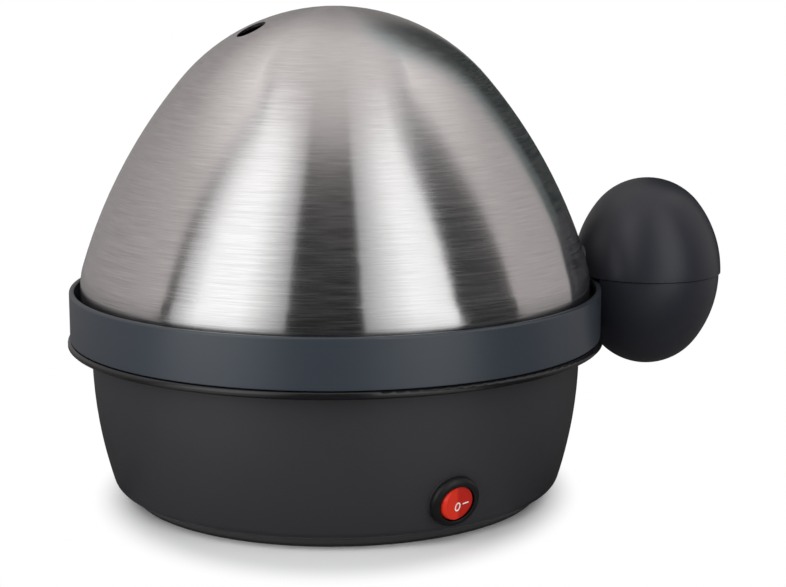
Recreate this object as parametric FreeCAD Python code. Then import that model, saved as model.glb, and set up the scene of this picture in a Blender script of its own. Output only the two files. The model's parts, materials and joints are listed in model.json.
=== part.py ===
import FreeCAD, Part
import math
import os

from FreeCAD import Placement, Rotation, Vector

# A countertop electric egg boiler: a heated base, a lift-off egg tray with a tall collar, and a
# steel dome lid. One half of an egg-shaped handle is on the tray and the other half is on the lid.
# Lengths are in millimetres and angles in degrees. The body's axis is Z, the table is at z = 0,
# and the handle lies along +X.

# Sizes shared by the whole product
seat_gap = 0.3            # between the pieces that lift off and what they stand on
fit_gap = 0.1             # between pieces that are fitted and stay together
screw_gap = 0.05          # round a screw's thread
overrun = 2.0             # how far a cutting tool runs past what it cuts

# Bowl of the base
foot_height = 3.65
rim_bottom = 49.6
bowl_top_radius = 78.7
bowl_wall = 2.2
side_draw_in = 6.0        # how much narrower the bowl is above its lower corner
side_bulge = 1.75
corner_size = 2.65
inside_steps = 3          # straight lengths that the bowl's inside and the handle's cores are made of
ledge_thickness = 2.2

# Rim ring that closes the bowl and holds the heating pan down
rim_thickness = 2.2
rim_overhang = 7.6        # how far the rim ring stands out past the bowl's top edge
rim_edge_round = 0.9
rim_skirt_wall = 1.8
clamp_width = 2.3         # how far the rim ring covers the pan's flange
hook_count = 6
hook_width = 7.0
hook_thickness = 1.2
hook_barb = 0.5
hook_drop = 1.8

# Heating pan and its seal
pan_thickness = 0.6
pan_flange_width = 4.6
pan_depth = 8.6
pan_slope_width = 8.0
pan_corner_round = 4.0
seal_thickness = 1.4

# Heater under the pan
spreader_thickness = 2.0
spreader_margin = 11.4    # from the edge of the pan's floor in to the spreader
element_margin = 10.0     # from the spreader's edge in to the middle of the tube
element_tube_radius = 3.3
element_opening = 40.0    # angle left open between the element's two ends
element_bend_radius = 6.5
element_leg = 7.0
element_pin_radius = 1.3
element_pin_length = 5.0
reflector_thickness = 0.8
reflector_margin = 6.0
reflector_lip = 4.0
stud_count = 3
stud_circle_share = 0.48  # against the spreader's radius
stud_radius = 2.0
stud_tail = 4.5
nut_across_flats = 7.0
nut_height = 3.2

# Thermostat and thermal fuse under the pan's middle
thermostat_radius = 8.5
thermostat_height = 9.0
thermostat_tab_width = 4.0
thermostat_tab_thickness = 0.8
thermostat_tab_length = 7.0
strap_width = 6.0
strap_thickness = 1.0
strap_foot = 7.0
strap_screw_radius = 1.3
fuse_radius = 1.8
fuse_length = 11.0
fuse_distance_share = 0.66  # from the body's axis, against the spreader's radius
fuse_lead_radius = 0.5
fuse_lead_length = 7.0
fuse_clip_width = 5.0

# Bottom cover, foot ring and cover screws
cover_thickness = 2.0
foot_ring_width = 6.0
foot_ring_inset = 0.95    # step from the cover's edge in to the standing ring
rubber_height = 1.0
rubber_side_gap = 0.6
rubber_tongue_width = 1.8
rubber_tongue_height = 1.4
vent_count = 12
vent_inner_share = 0.5    # where a vent starts, against where it ends
vent_width = 2.4
post_count = 4
post_margin = 13.35       # from the cover's edge in to a post's axis
vent_margin = 10.0        # from a post's axis in to the vents' outer ends
post_radius = 3.4
post_top = 24.0
gusset_thickness = 2.0
gusset_bottom = 8.0
cover_screw_radius = 1.5
cover_screw_head_radius = 3.2
cover_screw_head_height = 1.6
cover_screw_length = 10.0

# Switch
switch_angle = -71.1
switch_height = 14.3
switch_roll = 10.0
pad_proud = 0.3
pad_depth = 3.2
bezel_radius = 8.1
bezel_height = 2.4
bezel_edge_round = 1.8
bezel_opening = 5.7
switch_body_radius = 7.0
switch_body_wall = 0.7
switch_body_depth = 9.0
switch_floor = 2.0
rocker_ball_radius = 5.9
rocker_front = 2.6        # middle of the rocker's dished face, in front of its pivot
rocker_back = 1.5
rocker_dish_radius = 22.0
rocker_rest_tilt = 10.0
pivot_depth = 0.2         # behind the bowl's pad
pivot_radius = 0.9
pivot_gap = 0.06
terminal_width = 4.8
terminal_thickness = 0.8
terminal_length = 8.0
terminal_spacing = 4.2
lamp_radius = 1.6
lamp_length = 6.0

# Cord gland at the back
gland_angle = 110.0
gland_bore_radius = 3.4
gland_wall = 2.2
gland_flange_radius = 7.6
gland_flange_thickness = 1.8
gland_nose = 8.0
gland_nose_taper = 0.8
gland_tail = 10.0
gland_nut_across_flats = 15.0
gland_nut_height = 4.0

# Cord clamp and terminal block on the bottom cover
clamp_margin = 13.35      # from the cover's edge in to the clamp's middle
clamp_span = 17.0
clamp_strap_width = 8.0
clamp_strap_top = 5.2     # above the cord's axis
clamp_post_radius = 3.2
clamp_post_drop = 0.8
block_setback = 20.0      # from the clamp's middle in to the block's
block_length = 20.0
block_width = 12.0
block_height = 11.0
block_hole_radius = 1.7
block_hole_count = 3
block_hole_pitch = 6.0
block_screw_radius = 1.5
small_screw_radius = 1.4
small_head_radius = 2.6
small_head_height = 1.7

# Egg tray
collar_inset = 0.8        # how far the collar stays inside the rim ring's edge
collar_wall = 1.6
collar_height = 15.4
collar_lip_round = 0.6
deck_rise = 3.3
deck_thickness = 2.0
tray_skirt_wall = 2.0
tray_skirt_gap = 0.6      # above the pan's flange
egg_seat_share = 0.2522   # an egg seat's radius against the room inside the tray's skirt
egg_seat_count = 6
egg_seat_margin = 1.7
seat_lip_wall = 1.8
seat_lip_height = 3.0
seat_notch_count = 4
seat_notch_width = 4.0
steam_hole_radius = 3.0
steam_hole_circle_share = 0.418
ridge_width = 1.6
ridge_height = 2.3
rib_count = 12
rib_thickness = 1.6

# Dome lid
lid_height = 98.8
lid_wall = 0.8
lid_gap = 2.05            # between the collar and the lid's skirt
crown_share = 0.7796      # the crown's radius against the lid's
flank_share = 2.0436      # the flank's radius against the lid's
shoulder_rise = 4.25      # from the collar's lip up to where the skirt meets the flank
shoulder_round = 20.0
bead_width = 1.6
vent_angle = 195.0
vent_distance_share = 0.345
vent_radius = 4.4

# Egg-shaped handle, in two halves
seam_rise = 1.0           # of the handle's seam above the collar's lip
seam_gap = 0.3
handle_radius = 24.4
upper_handle_height = 31.0
lower_handle_height = 30.7
lower_handle_step = 0.55  # how much smaller the lower half is at the seam
egg_tip_share = 0.86      # the tip arc's radius against the egg's
handle_sink = 5.45        # how deep the egg shape reaches past the collar's face
handle_wall = 2.2
plate_thickness = 2.0
plate_rim = 1.2
neck_width = 13.6
neck_height = 9.6
neck_round = 4.0
handle_screw_rise = 6.3
handle_screw_spread = 2.9  # angle of each screw from the handle's middle, about the body's axis
handle_screw_radius = 1.5
handle_screw_length = 8.0
handle_boss_radius = 3.4
handle_boss_length = 9.0
washer_radius = 3.8
washer_thickness = 0.8
plate_screw_spread = 12.5
plate_screw_length = 9.0
plate_boss_radius = 2.8
tongue_reach = 14.0
tongue_width = 21.0
tongue_thickness = 2.5
tongue_screw_reach = 9.0
tongue_screw_spread = 6.0

# Heights and radii that follow from the sizes above
bowl_corner_radius = bowl_top_radius - side_draw_in
bowl_edge_radius = bowl_corner_radius - corner_size
bowl_corner_height = foot_height + corner_size
bowl_inner_radius = bowl_top_radius - bowl_wall
rim_top = rim_bottom + rim_thickness
rim_radius = bowl_top_radius + rim_overhang
rim_skirt_radius = bowl_inner_radius - 2 * fit_gap
pan_flange_radius = rim_skirt_radius - rim_skirt_wall - 2 * fit_gap
pan_mouth_radius = pan_flange_radius - pan_flange_width
pan_flange_bottom = rim_bottom - pan_thickness
pan_floor = rim_bottom - pan_thickness - pan_depth
rim_opening = pan_flange_radius - clamp_width
ledge_top = pan_flange_bottom - seal_thickness
ledge_bottom = ledge_top - ledge_thickness
ledge_opening = pan_mouth_radius + seat_gap
spreader_bottom = pan_floor - spreader_thickness
spreader_radius = pan_mouth_radius - pan_slope_width - spreader_margin
element_ring_radius = spreader_radius - element_margin
stud_circle_radius = spreader_radius * stud_circle_share
fuse_distance = spreader_radius * fuse_distance_share
element_height = spreader_bottom - fit_gap - element_tube_radius
reflector_top = element_height - element_tube_radius - fit_gap
reflector_bottom = reflector_top - reflector_thickness
reflector_radius = spreader_radius + reflector_margin
thermostat_bottom = spreader_bottom - thermostat_height
cover_radius = bowl_edge_radius - bowl_wall - 2 * fit_gap
cover_top = foot_height + cover_thickness
post_circle_radius = cover_radius - post_margin
vent_outer_radius = post_circle_radius - vent_margin
vent_inner_radius = vent_outer_radius * vent_inner_share
clamp_distance = cover_radius - clamp_margin
block_distance = clamp_distance - block_setback
foot_ring_radius = cover_radius - foot_ring_inset
foot_ring_inner_radius = foot_ring_radius - foot_ring_width
collar_radius = rim_radius - collar_inset
collar_bottom = rim_top + seat_gap
collar_top = collar_bottom + collar_height
collar_inner_radius = collar_radius - collar_wall
deck_bottom = collar_bottom + deck_rise
deck_top = deck_bottom + deck_thickness
tray_skirt_radius = rim_opening - seat_gap
tray_skirt_inner_radius = tray_skirt_radius - tray_skirt_wall
tray_skirt_bottom = rim_bottom + tray_skirt_gap
egg_seat_radius = tray_skirt_inner_radius * egg_seat_share
egg_circle_radius = tray_skirt_inner_radius - egg_seat_margin - egg_seat_radius
steam_hole_circle_radius = tray_skirt_inner_radius * steam_hole_circle_share
lid_bottom = deck_top + seat_gap
lid_top = lid_bottom + lid_height
lid_radius = collar_inner_radius - lid_gap
crown_radius = lid_radius * crown_share
flank_radius = lid_radius * flank_share
vent_distance = lid_radius * vent_distance_share
shoulder_height = collar_top + shoulder_rise
ridge_radius = lid_radius - bead_width - seat_gap
seam_height = collar_top + seam_rise
upper_seam = seam_height + seam_gap / 2
lower_seam = seam_height - seam_gap / 2
lower_handle_radius = handle_radius - lower_handle_step
handle_distance = collar_radius + handle_radius - handle_sink
tongue_bottom = (collar_bottom + collar_top) / 2 - tongue_thickness / 2

X_AXIS = Vector(1, 0, 0)
Y_AXIS = Vector(0, 1, 0)
Z_AXIS = Vector(0, 0, 1)
ORIGIN = Vector(0, 0, 0)


# General helpers

def at(radius, height):
    """A point of a turned outline, from its distance to the axis and its height."""
    return Vector(radius, 0, height)


def line(start, end):
    return Part.LineSegment(start, end).toShape()


def arc(centre, radius, first, last):
    """The arc round centre that runs from direction first to direction last."""
    middle = (first + last).normalize()
    return Part.Arc(*[centre + direction * radius for direction in (first, middle, last)]).toShape()


def rounded_edges(corners):
    """Edges of a closed outline through (radius, height, round) corners."""
    tangents = []
    for index, (radius, height, round_radius) in enumerate(corners):
        here = at(radius, height)
        before = at(*corners[index - 1][:2])
        after = at(*corners[(index + 1) % len(corners)][:2])
        if round_radius == 0:
            tangents.append((here, here, None))
            continue
        back = (before - here).normalize()
        on = (after - here).normalize()
        half_angle = back.getAngle(on) / 2
        reach = round_radius / math.tan(half_angle)
        depth = round_radius / math.sin(half_angle) - round_radius
        middle = here + (back + on).normalize() * depth
        tangents.append((here + back * reach, here + on * reach, middle))
    edges = []
    for index, (start, end, middle) in enumerate(tangents):
        if middle is not None:
            edges.append(Part.Arc(start, middle, end).toShape())
        edges.append(line(end, tangents[(index + 1) % len(tangents)][0]))
    return edges


def turned(edges):
    """A solid made by turning a closed outline about the Z axis."""
    face = Part.Face(Part.Wire(Part.__sortEdges__(edges)))
    return face.revolve(ORIGIN, Z_AXIS, 360)


def turned_corners(*corners):
    return turned(rounded_edges([(*corner, 0)[:3] for corner in corners]))


def ring(inner, outer, low, high):
    return turned_corners((inner, low), (outer, low), (outer, high), (inner, high))


def rod(radius, low, high, x=0, y=0):
    """An upright round bar."""
    return Part.makeCylinder(radius, high - low, Vector(x, y, low))


def bar_along_x(radius, start, end):
    return Part.makeCylinder(radius, end - start, X_AXIS * start, X_AXIS)


def block(x_range, y_range, z_range):
    low = Vector(x_range[0], y_range[0], z_range[0])
    return Part.makeBox(x_range[1] - x_range[0], y_range[1] - y_range[0], z_range[1] - z_range[0], low)


def hexagon(across_flats, low, high):
    """An upright hexagonal bar about the Z axis."""
    points = [Vector(across_flats / math.sqrt(3), 0, low)]
    for turn in range(6):
        points.append(Rotation(Z_AXIS, 60).multVec(points[turn]))
    return Part.Face(Part.makePolygon(points)).extrude(Z_AXIS * (high - low))


def spun(shape, angle):
    """A copy turned about the body's axis."""
    copy = shape.copy()
    copy.rotate(ORIGIN, Z_AXIS, angle)
    return copy


def placed(shape, placement):
    copy = shape.copy()
    copy.Placement = placement.multiply(copy.Placement)
    return copy


def pattern(shape, count, start_angle=0):
    """Copies spaced evenly about the body's axis."""
    return [spun(shape, start_angle + turn * 360 / count) for turn in range(count)]


def mirrored_pair(shape):
    return [shape, shape.mirror(ORIGIN, Y_AXIS)]


def joined(first, *others):
    return first.multiFuse(list(others)).removeSplitter()


def group(shapes):
    return Part.makeCompound(shapes)


def screw(radius, length, head_radius, head_height):
    """A cheese-headed screw pointing down from z = 0, with its head above."""
    return turned_corners((0, -length), (radius, -length), (radius, 0), (head_radius, 0),
                          (head_radius, head_height), (0, head_height))


# Curves of the bowl, the dome and the handle

def bowl_side(inset):
    """The bowl's side as one shallow arc, moved in by inset."""
    middle_radius = (bowl_corner_radius + bowl_top_radius) / 2 + side_bulge
    middle_height = (bowl_corner_height + rim_bottom) / 2
    low = at(bowl_corner_radius - inset, bowl_corner_height)
    middle = at(middle_radius - inset, middle_height)
    return Part.Arc(low, middle, at(bowl_top_radius - inset, rim_bottom)).toShape()


def bowl_wall_frame(height, angle, roll):
    """A frame on the bowl's outside: X out along the wall's normal, Z up along the wall."""
    side = bowl_side(0).Curve
    rise = height - side.Center.z
    reach = math.sqrt(side.Radius ** 2 - rise ** 2)
    lean = math.degrees(math.atan2(-rise, reach))
    point = spun_point(at(side.Center.x + reach, height), angle)
    return Placement(point, Rotation(Z_AXIS, angle) * Rotation(Y_AXIS, lean) * Rotation(X_AXIS, roll))


def spun_point(point, angle):
    return Rotation(Z_AXIS, angle).multVec(point)


def bowl_body():
    """The bowl's outer form as a full solid."""
    side = bowl_side(0)
    edge = at(bowl_edge_radius, foot_height)
    start = at(bowl_corner_radius, bowl_corner_height)
    normal = (side.Curve.Center - start).normalize()
    chord = start - edge
    corner_radius = -chord.Length ** 2 / (2 * chord.dot(normal))
    centre = start + normal * corner_radius
    middle = centre + ((edge - centre).normalize() + (start - centre).normalize()).normalize() * corner_radius
    top, bottom = at(0, rim_bottom), at(0, foot_height)
    return turned([Part.Arc(edge, middle, start).toShape(), side, line(at(bowl_top_radius, rim_bottom), top),
                   line(top, bottom), line(bottom, edge)])


def bowl_hollow(inset):
    """The bowl's inside, in straight lengths beside the outer curve, open at both ends."""
    side = bowl_side(inset).Curve
    wall = []
    for step in range(inside_steps + 1):
        height = bowl_corner_height + (rim_bottom - bowl_corner_height) * step / inside_steps
        wall.append((side.Center.x + math.sqrt(side.Radius ** 2 - (height - side.Center.z) ** 2), height))
    edge = bowl_edge_radius - inset
    low, high = foot_height - overrun, rim_bottom + overrun
    return turned_corners((0, low), (edge, low), (edge, foot_height), *wall, (bowl_top_radius - inset, high),
                          (0, high))


class DomeCurve:
    """The dome's outline: upright skirt, shoulder round, long flank and round crown."""

    def __init__(self):
        crown_centre = at(0, lid_top - crown_radius)
        to_shoulder = at(lid_radius, shoulder_height) - crown_centre
        step = crown_radius - flank_radius
        along = (to_shoulder.Length ** 2 + step ** 2 - flank_radius ** 2) / (2 * step)
        shoulder_turn = math.atan2(to_shoulder.x, to_shoulder.z)
        self.crown_turn = shoulder_turn - math.acos(along / to_shoulder.Length)
        self.crown_centre = crown_centre
        self.crown_end = at(math.sin(self.crown_turn), math.cos(self.crown_turn))
        self.flank_centre = crown_centre + self.crown_end * step
        reach = flank_radius - shoulder_round
        across = lid_radius - shoulder_round - self.flank_centre.x
        self.shoulder_centre = at(lid_radius - shoulder_round,
                                  self.flank_centre.z + math.sqrt(reach ** 2 - across ** 2))
        self.flank_start = (self.shoulder_centre - self.flank_centre).normalize()

    def body(self, inset, bottom):
        """The dome as a full solid, moved in by inset, down to height bottom."""
        shoulder = arc(self.shoulder_centre, shoulder_round - inset, X_AXIS, self.flank_start)
        flank = arc(self.flank_centre, flank_radius - inset, self.flank_start, self.crown_end)
        crown = arc(self.crown_centre, crown_radius - inset, self.crown_end, Z_AXIS)
        foot = at(lid_radius - inset, bottom)
        top = at(0, lid_top - inset)
        return turned([line(at(0, bottom), foot), line(foot, at(foot.x, self.shoulder_centre.z)),
                       shoulder, flank, crown, line(top, at(0, bottom))])

    def wall_frame(self, height, angle):
        """A frame on the dome's outside, with X out along the wall's normal."""
        rise = height - self.flank_centre.z
        reach = math.sqrt(flank_radius ** 2 - rise ** 2)
        point = spun_point(at(self.flank_centre.x + reach, height), angle)
        lean = math.degrees(math.atan2(rise, reach))
        return Placement(point, Rotation(Z_AXIS, angle) * Rotation(Y_AXIS, -lean))


dome = DomeCurve()


def half_egg(radius, height, seam):
    """Half of the egg-shaped handle, up from the seam, or down where height is negative.

    Its outline is a long side arc, upright at the seam, and a tip arc that touches it."""
    way = Z_AXIS * math.copysign(1, height)
    tip_radius = radius * egg_tip_share
    tip_centre = Z_AXIS * height - way * tip_radius
    side_radius = (radius ** 2 + tip_centre.z ** 2 - tip_radius ** 2) / (2 * (radius - tip_radius))
    side_centre = at(radius - side_radius, 0)
    meeting = (tip_centre - side_centre).normalize()
    half = turned([arc(side_centre, side_radius, X_AXIS, meeting), arc(tip_centre, tip_radius, meeting, way),
                   line(at(0, height), ORIGIN), line(ORIGIN, at(radius, 0))])
    half.translate(Vector(handle_distance, 0, seam))
    return half


def half_egg_core(radius, height, seam):
    """What is hollow in half of the handle, in straight lengths beside the outer curve."""
    turns = [math.pi / 2 * step / inside_steps for step in range(inside_steps + 1)]
    side = [(radius * math.cos(turn), height * math.sin(turn)) for turn in turns[:-1]]
    core = turned_corners((0, 0), *side, (0, height))
    core.translate(Vector(handle_distance, 0, seam))
    return core


# Base

def base_housing():
    shell = bowl_body().cut(bowl_hollow(bowl_wall))
    ledge = ring(ledge_opening, bowl_top_radius - bowl_wall / 2, ledge_bottom, ledge_top)
    gusset = block((post_circle_radius, bowl_top_radius), (-gusset_thickness / 2, gusset_thickness / 2),
                   (gusset_bottom, post_top)).common(bowl_hollow(bowl_wall / 2))
    post = joined(rod(post_radius, cover_top + fit_gap, post_top, x=post_circle_radius), gusset)
    posts = pattern(post, post_count, 180 / post_count)
    switch_pad = placed(bar_along_x(bezel_radius + fit_gap, -pad_depth, pad_proud), switch_frame())
    gland_pad = placed(bar_along_x(gland_flange_radius + fit_gap, -pad_depth, pad_proud), gland_frame())
    body = joined(shell, ledge, switch_pad, gland_pad, *posts)
    pilot = rod(cover_screw_radius + screw_gap, foot_height, cover_top + cover_screw_length,
                x=post_circle_radius)
    slot_outer = rim_skirt_radius - rim_skirt_wall + hook_thickness + hook_barb + fit_gap
    slot = block((rim_skirt_radius - rim_skirt_wall - fit_gap, slot_outer),
                 (-hook_width / 2 - fit_gap, hook_width / 2 + fit_gap),
                 (ledge_bottom - overrun, ledge_top + overrun))
    switch_hole = placed(bar_along_x(switch_body_radius + fit_gap, -pad_depth - overrun, overrun),
                         switch_frame())
    gland_hole = placed(bar_along_x(gland_bore_radius + gland_wall + fit_gap, -pad_depth - overrun, overrun),
                        gland_frame())
    return body.cut([*pattern(pilot, post_count, 180 / post_count), *pattern(slot, hook_count),
                     switch_hole, gland_hole])


def bottom_cover():
    groove_inner = (foot_ring_radius + foot_ring_inner_radius - rubber_tongue_width) / 2 - fit_gap
    groove_outer = groove_inner + rubber_tongue_width + 2 * fit_gap
    plate = rod(cover_radius, foot_height, cover_top)
    standing_ring = ring(foot_ring_inner_radius, foot_ring_radius, rubber_height, foot_height)
    clamp_post = rod(clamp_post_radius, foot_height, clamp_post_top(), x=clamp_distance, y=clamp_span / 2)
    clamp_posts = [spun(post, gland_angle) for post in mirrored_pair(clamp_post)]
    groove = ring(groove_inner, groove_outer, rubber_height - overrun,
                  rubber_height + rubber_tongue_height + fit_gap)
    vent = block((vent_inner_radius, vent_outer_radius), (-vent_width / 2, vent_width / 2),
                 (foot_height - overrun, cover_top + overrun))
    screw_hole = rod(cover_screw_radius + fit_gap, foot_height - overrun, cover_top + overrun,
                     x=post_circle_radius)
    clamp_hole = rod(small_screw_radius + screw_gap, cover_top, clamp_post_top() + overrun,
                     x=clamp_distance, y=clamp_span / 2)
    block_hole = rod(block_screw_radius + screw_gap, foot_height - overrun, cover_top + overrun,
                     x=block_distance, y=block_screw_place())
    holes = [spun(hole, gland_angle) for hole in mirrored_pair(clamp_hole) + mirrored_pair(block_hole)]
    body = joined(plate, standing_ring, *clamp_posts)
    return body.cut([groove, *pattern(vent, vent_count, 180 / vent_count),
                     *pattern(screw_hole, post_count, 180 / post_count), *holes])


def foot_ring():
    centre = (foot_ring_radius + foot_ring_inner_radius) / 2
    tread = ring(foot_ring_inner_radius + rubber_side_gap, foot_ring_radius - rubber_side_gap, 0,
                 rubber_height)
    tongue = ring(centre - rubber_tongue_width / 2, centre + rubber_tongue_width / 2, 0,
                  rubber_height + rubber_tongue_height)
    return joined(tread, tongue)


def cover_screws():
    one = screw(cover_screw_radius, cover_thickness + cover_screw_length - fit_gap, cover_screw_head_radius,
                cover_screw_head_height)
    one.rotate(ORIGIN, X_AXIS, 180)
    one.translate(Vector(post_circle_radius, 0, foot_height))
    return group(pattern(one, post_count, 180 / post_count))


def rim_ring():
    bevel = rim_edge_round / 2
    flange = turned_corners((rim_opening, rim_bottom), (rim_radius - bevel, rim_bottom),
                            (rim_radius, rim_bottom + bevel), (rim_radius, rim_top, rim_edge_round),
                            (rim_opening + bevel, rim_top), (rim_opening, rim_top - bevel))
    skirt = ring(rim_skirt_radius - rim_skirt_wall, rim_skirt_radius, ledge_top, rim_bottom)
    inner = rim_skirt_radius - rim_skirt_wall
    outer = inner + hook_thickness
    tip = outer + hook_barb
    catch = ledge_bottom - fit_gap
    low = ledge_bottom - hook_drop
    hook = turned_corners((inner, ledge_top), (inner, low), (outer, low), (tip, catch - hook_barb),
                          (tip, catch), (outer, catch), (outer, ledge_top)).common(
        block((0, rim_radius), (-hook_width / 2, hook_width / 2), (low - overrun, rim_bottom)))
    return joined(flange, skirt, *pattern(hook, hook_count))


def pan_seal():
    return ring(ledge_opening + fit_gap, pan_flange_radius - fit_gap, ledge_top, pan_flange_bottom)


def pan_form(inset, top):
    """The dish's hollow form, moved in and up by inset, up to height top."""
    mouth = pan_mouth_radius - inset
    floor = pan_mouth_radius - pan_slope_width - inset
    return turned_corners((0, pan_floor + inset), (floor, pan_floor + inset, pan_corner_round + inset),
                          (mouth, pan_flange_bottom), (mouth, top), (0, top))


def heating_pan():
    flange = rod(pan_flange_radius, pan_flange_bottom, rim_bottom)
    return joined(pan_form(0, rim_bottom), flange).cut(pan_form(pan_thickness, rim_bottom + overrun))


def heat_spreader():
    return rod(spreader_radius, spreader_bottom, pan_floor)


def element_path():
    """Down one leg, round the ring and up to the other leg, with a bend at each end."""
    leg_end = element_height - element_bend_radius - element_leg
    first_turn = element_opening / 2
    last_turn = 360 - first_turn
    points = {}
    for name, turn, away in (("first", first_turn, -1), ("last", last_turn, 1)):
        along = spun_point(Y_AXIS, turn) * away
        ring_point = spun_point(at(element_ring_radius, element_height), turn)
        bend_centre = ring_point - Z_AXIS * element_bend_radius
        bend_end = bend_centre + along * element_bend_radius
        bend_middle = bend_centre + (Z_AXIS + along).normalize() * element_bend_radius
        points[name] = (Vector(bend_end.x, bend_end.y, leg_end), bend_end, bend_middle, ring_point)
    opposite = at(-element_ring_radius, element_height)
    first, last = points["first"], points["last"]
    return Part.Wire([line(first[0], first[1]), Part.Arc(first[1], first[2], first[3]).toShape(),
                      Part.Arc(first[3], opposite, last[3]).toShape(),
                      Part.Arc(last[3], last[2], last[1]).toShape(), line(last[1], last[0])])


def heating_element():
    path = element_path()
    starts = [path.OrderedVertexes[0].Point, path.OrderedVertexes[-1].Point]
    section = Part.Wire(Part.makeCircle(element_tube_radius, starts[0], Z_AXIS))
    tube = path.makePipeShell([section], True, False)
    pins = [rod(element_pin_radius, end.z - element_pin_length, end.z, x=end.x, y=end.y) for end in starts]
    return joined(tube, *pins)


def reflector_plate():
    """A shallow steel dish under the element, holed for the legs, the studs and the thermostat."""
    lip_top = reflector_top + reflector_lip
    dish = rod(reflector_radius, reflector_bottom, lip_top).cut(
        rod(reflector_radius - reflector_thickness, reflector_top, lip_top + overrun))
    leg = element_path().OrderedVertexes[0].Point
    bend = spun_point(X_AXIS * element_ring_radius, element_opening / 2)
    reach = element_tube_radius + seat_gap
    leg_window = block((min(leg.x, bend.x) - reach, max(leg.x, bend.x) + reach), (leg.y - reach, bend.y),
                       (reflector_bottom - overrun, reflector_top + overrun))
    stud_hole = rod(stud_radius + fit_gap, reflector_bottom - overrun, reflector_top + overrun,
                    x=stud_circle_radius)
    middle_hole = rod(thermostat_radius + seat_gap, reflector_bottom - overrun, reflector_top + overrun)
    screw_hole = rod(strap_screw_radius + screw_gap, reflector_bottom - overrun, reflector_top + overrun,
                     y=strap_screw_place())
    fuse_hole = rod(strap_screw_radius + screw_gap, reflector_bottom - overrun, reflector_top + overrun,
                    x=-fuse_distance, y=fuse_screw_place())
    return dish.cut([*mirrored_pair(leg_window), *pattern(stud_hole, stud_count), middle_hole,
                     *mirrored_pair(screw_hole), fuse_hole])


def clamp_studs():
    stud = rod(stud_radius, reflector_bottom - nut_height - stud_tail, spreader_bottom, x=stud_circle_radius)
    return group(pattern(stud, stud_count))


def clamp_nuts():
    nut = hexagon(nut_across_flats, reflector_bottom - nut_height, reflector_bottom).cut(
        rod(stud_radius + screw_gap, reflector_bottom - nut_height - overrun, reflector_bottom + overrun))
    nut.translate(X_AXIS * stud_circle_radius)
    return group(pattern(nut, stud_count))


def thermostat():
    body = turned_corners((0, thermostat_bottom), (thermostat_radius - strap_thickness, thermostat_bottom),
                          (thermostat_radius - strap_thickness, reflector_bottom),
                          (thermostat_radius, reflector_bottom), (thermostat_radius, spreader_bottom),
                          (0, spreader_bottom))
    tab = block((strap_width / 2 + fit_gap, strap_width / 2 + fit_gap + thermostat_tab_thickness),
                (-thermostat_tab_width / 2, thermostat_tab_width / 2),
                (thermostat_bottom - thermostat_tab_length, thermostat_bottom))
    return joined(body, tab, tab.mirror(ORIGIN, X_AXIS))


def strap_screw_place():
    return thermostat_radius + strap_foot / 2 + 2 * strap_thickness


def thermostat_bracket():
    """A bent strap under the thermostat, with a foot on the reflector at each end."""
    reach = thermostat_radius + strap_thickness
    low = thermostat_bottom - strap_thickness
    across = block((-strap_width / 2, strap_width / 2), (-reach, reach), (low, thermostat_bottom))
    leg = block((-strap_width / 2, strap_width / 2), (thermostat_radius, reach), (low, reflector_bottom))
    foot = block((-strap_width / 2, strap_width / 2), (thermostat_radius, reach + strap_foot),
                 (reflector_bottom - strap_thickness, reflector_bottom))
    hole = rod(strap_screw_radius + screw_gap, low, reflector_bottom + overrun, y=strap_screw_place())
    return joined(across, *mirrored_pair(leg), *mirrored_pair(foot)).cut(mirrored_pair(hole))


def bracket_screws():
    """The screws of the thermostat's strap and of the fuse's clip, driven up into the reflector."""
    one = screw(strap_screw_radius, strap_thickness + reflector_thickness, 2 * strap_screw_radius,
                strap_screw_radius)
    one.rotate(ORIGIN, X_AXIS, 180)
    one.translate(Z_AXIS * (reflector_bottom - strap_thickness))
    places = [Y_AXIS * strap_screw_place(), Y_AXIS * -strap_screw_place(),
              Vector(-fuse_distance, fuse_screw_place(), 0)]
    return group([placed(one, Placement(place, Rotation())) for place in places])


def fuse_height():
    return reflector_bottom - fit_gap - fuse_radius


def fuse_screw_place():
    return fuse_radius + strap_thickness + strap_foot / 2


def thermal_fuse():
    start = X_AXIS * (-fuse_distance - fuse_length / 2) + Z_AXIS * fuse_height()
    body = Part.makeCylinder(fuse_radius, fuse_length, start, X_AXIS)
    leads = Part.makeCylinder(fuse_lead_radius, fuse_length + 2 * fuse_lead_length,
                              start - X_AXIS * fuse_lead_length, X_AXIS)
    return joined(body, leads)


def fuse_clip():
    """A sheet clip that cradles the fuse and is screwed to the reflector beside it."""
    inner = fuse_radius + fit_gap
    outer = inner + strap_thickness
    start = X_AXIS * (-fuse_distance - fuse_clip_width / 2) + Z_AXIS * fuse_height()
    x_range = (start.x, start.x + fuse_clip_width)
    cradle = Part.makeCylinder(outer, fuse_clip_width, start, X_AXIS)
    cheeks = block(x_range, (-outer, outer), (fuse_height(), reflector_bottom))
    foot = block(x_range, (0, outer + strap_foot), (reflector_bottom - strap_thickness, reflector_bottom))
    hollow = Part.makeCylinder(inner, fuse_clip_width + 2 * overrun, start - X_AXIS * overrun, X_AXIS)
    mouth = block((x_range[0] - overrun, x_range[1] + overrun), (-inner, inner),
                  (fuse_height(), reflector_bottom + overrun))
    above = block((x_range[0] - overrun, x_range[1] + overrun), (-2 * outer, 2 * outer + strap_foot),
                  (reflector_bottom, reflector_bottom + 2 * outer))
    hole = rod(strap_screw_radius + screw_gap, reflector_bottom - 2 * outer, reflector_bottom + overrun,
               x=-fuse_distance, y=fuse_screw_place())
    return joined(cradle, cheeks, foot).cut([hollow, mouth, above, hole])


# Switch, in a frame with X out of the bowl, Y to the right and Z up the wall

def switch_frame():
    return bowl_wall_frame(switch_height, switch_angle, switch_roll)


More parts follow.
